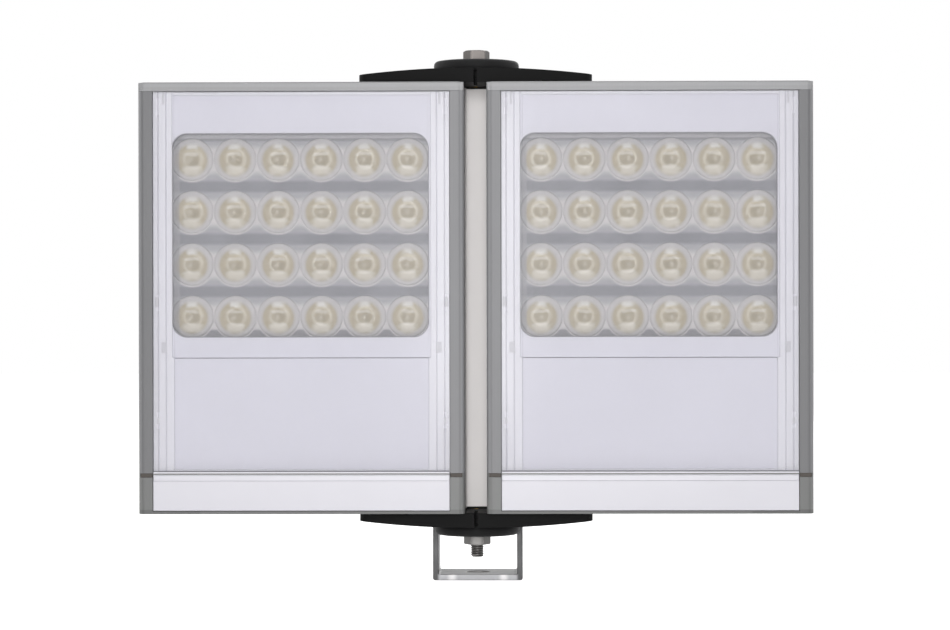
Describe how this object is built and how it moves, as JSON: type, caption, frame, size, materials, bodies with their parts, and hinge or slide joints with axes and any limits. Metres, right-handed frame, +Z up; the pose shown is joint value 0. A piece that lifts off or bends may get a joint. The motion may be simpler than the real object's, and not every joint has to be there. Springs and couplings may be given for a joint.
{
  "type": "white light illuminator",
  "caption": "Twin-panel LED floodlight for a security camera, two finned lamps hinged on a central spine that tilts in a U-shaped mounting bracket.",
  "frame": {"origin": "centre of the mounting hole in the underside of the U-bracket", "axes": "+X along the row of the two lamps, +Y to the rear away from the lit side, +Z up from the bracket's base along the hinge bolt"},
  "size_m": [0.2814, 0.085, 0.2284],
  "materials": {
    "bracket": "satin grey powder coat",
    "spine": "off-white powder coat",
    "shell": "grey powder coat over cast fins",
    "cap": "grey moulded plastic",
    "white_trim": "smooth white plastic",
    "clear_cover": "clear, lightly diffusing",
    "seal": "pale silicone",
    "face_plate": "fine matt white",
    "led_board": "white solder mask on metal core",
    "led_chip": "phosphor over a white package",
    "lens": "moulded clear lens sheet",
    "circuit_board": "green solder mask",
    "components": "moulded component bodies",
    "fastener": "zinc-plated steel",
    "hinge_steel": "zinc-plated steel, slightly warm",
    "bush": "turned brass",
    "black_plastic": "fine-grained black plastic",
    "gland": "black nylon",
    "seal_black": "black rubber"
  },
  "bodies": {
    "bracket": {"u_bracket": "bracket"},
    "spine": {"centre_spine": "spine", "upper_hinge_disc": "black_plastic", "lower_hinge_disc": "black_plastic", "hinge_bolt": "hinge_steel", "hinge_nut": "hinge_steel", "hinge_washers": "fastener", "upper_bush": "bush", "lower_bush": "bush", "pivot_bolts": "fastener", "pivot_washers": "fastener"},
    "left_lamp": {"left_housing": "shell", "left_top_cap": "cap", "left_bottom_cap": "cap", "left_front_strip": "white_trim", "left_front_cover": "clear_cover", "left_gasket": "seal", "left_led_bezel": "face_plate", "left_lower_plate": "face_plate", "left_led_board": "led_board", "left_leds": "led_chip", "left_led_lenses": "lens", "left_driver_board": "circuit_board", "left_driver_parts": "components", "left_arm_screws": "fastener", "left_cap_screws": "fastener", "left_cable_gland": "gland", "left_gland_locknut": "gland", "left_gland_nut": "gland", "left_gland_seal": "seal_black", "left_upper_arm": "black_plastic", "left_lower_arm": "black_plastic"},
    "right_lamp": {"right_housing": "shell", "right_top_cap": "cap", "right_bottom_cap": "cap", "right_front_strip": "white_trim", "right_front_cover": "clear_cover", "right_gasket": "seal", "right_led_bezel": "face_plate", "right_lower_plate": "face_plate", "right_led_board": "led_board", "right_leds": "led_chip", "right_led_lenses": "lens", "right_driver_board": "circuit_board", "right_driver_parts": "components", "right_arm_screws": "fastener", "right_cap_screws": "fastener", "right_cable_gland": "gland", "right_gland_locknut": "gland", "right_gland_nut": "gland", "right_gland_seal": "seal_black", "right_upper_arm": "black_plastic", "right_lower_arm": "black_plastic"}
  },
  "joints": [
    {"name": "tilt", "type": "hinge", "parent": "bracket", "child": "spine", "pos_m": [0, 0, 0.062], "axis": [1, 0, 0], "range_deg": [-45, 12]},
    {"name": "left_swing", "type": "hinge", "parent": "spine", "child": "left_lamp", "pos_m": [0, -0.031, 0.1225], "axis": [0, 0, -1], "range_deg": [0, 30]},
    {"name": "right_swing", "type": "hinge", "parent": "spine", "child": "right_lamp", "pos_m": [0, -0.031, 0.1225], "axis": [0, 0, 1], "range_deg": [0, 30]}
  ]
}
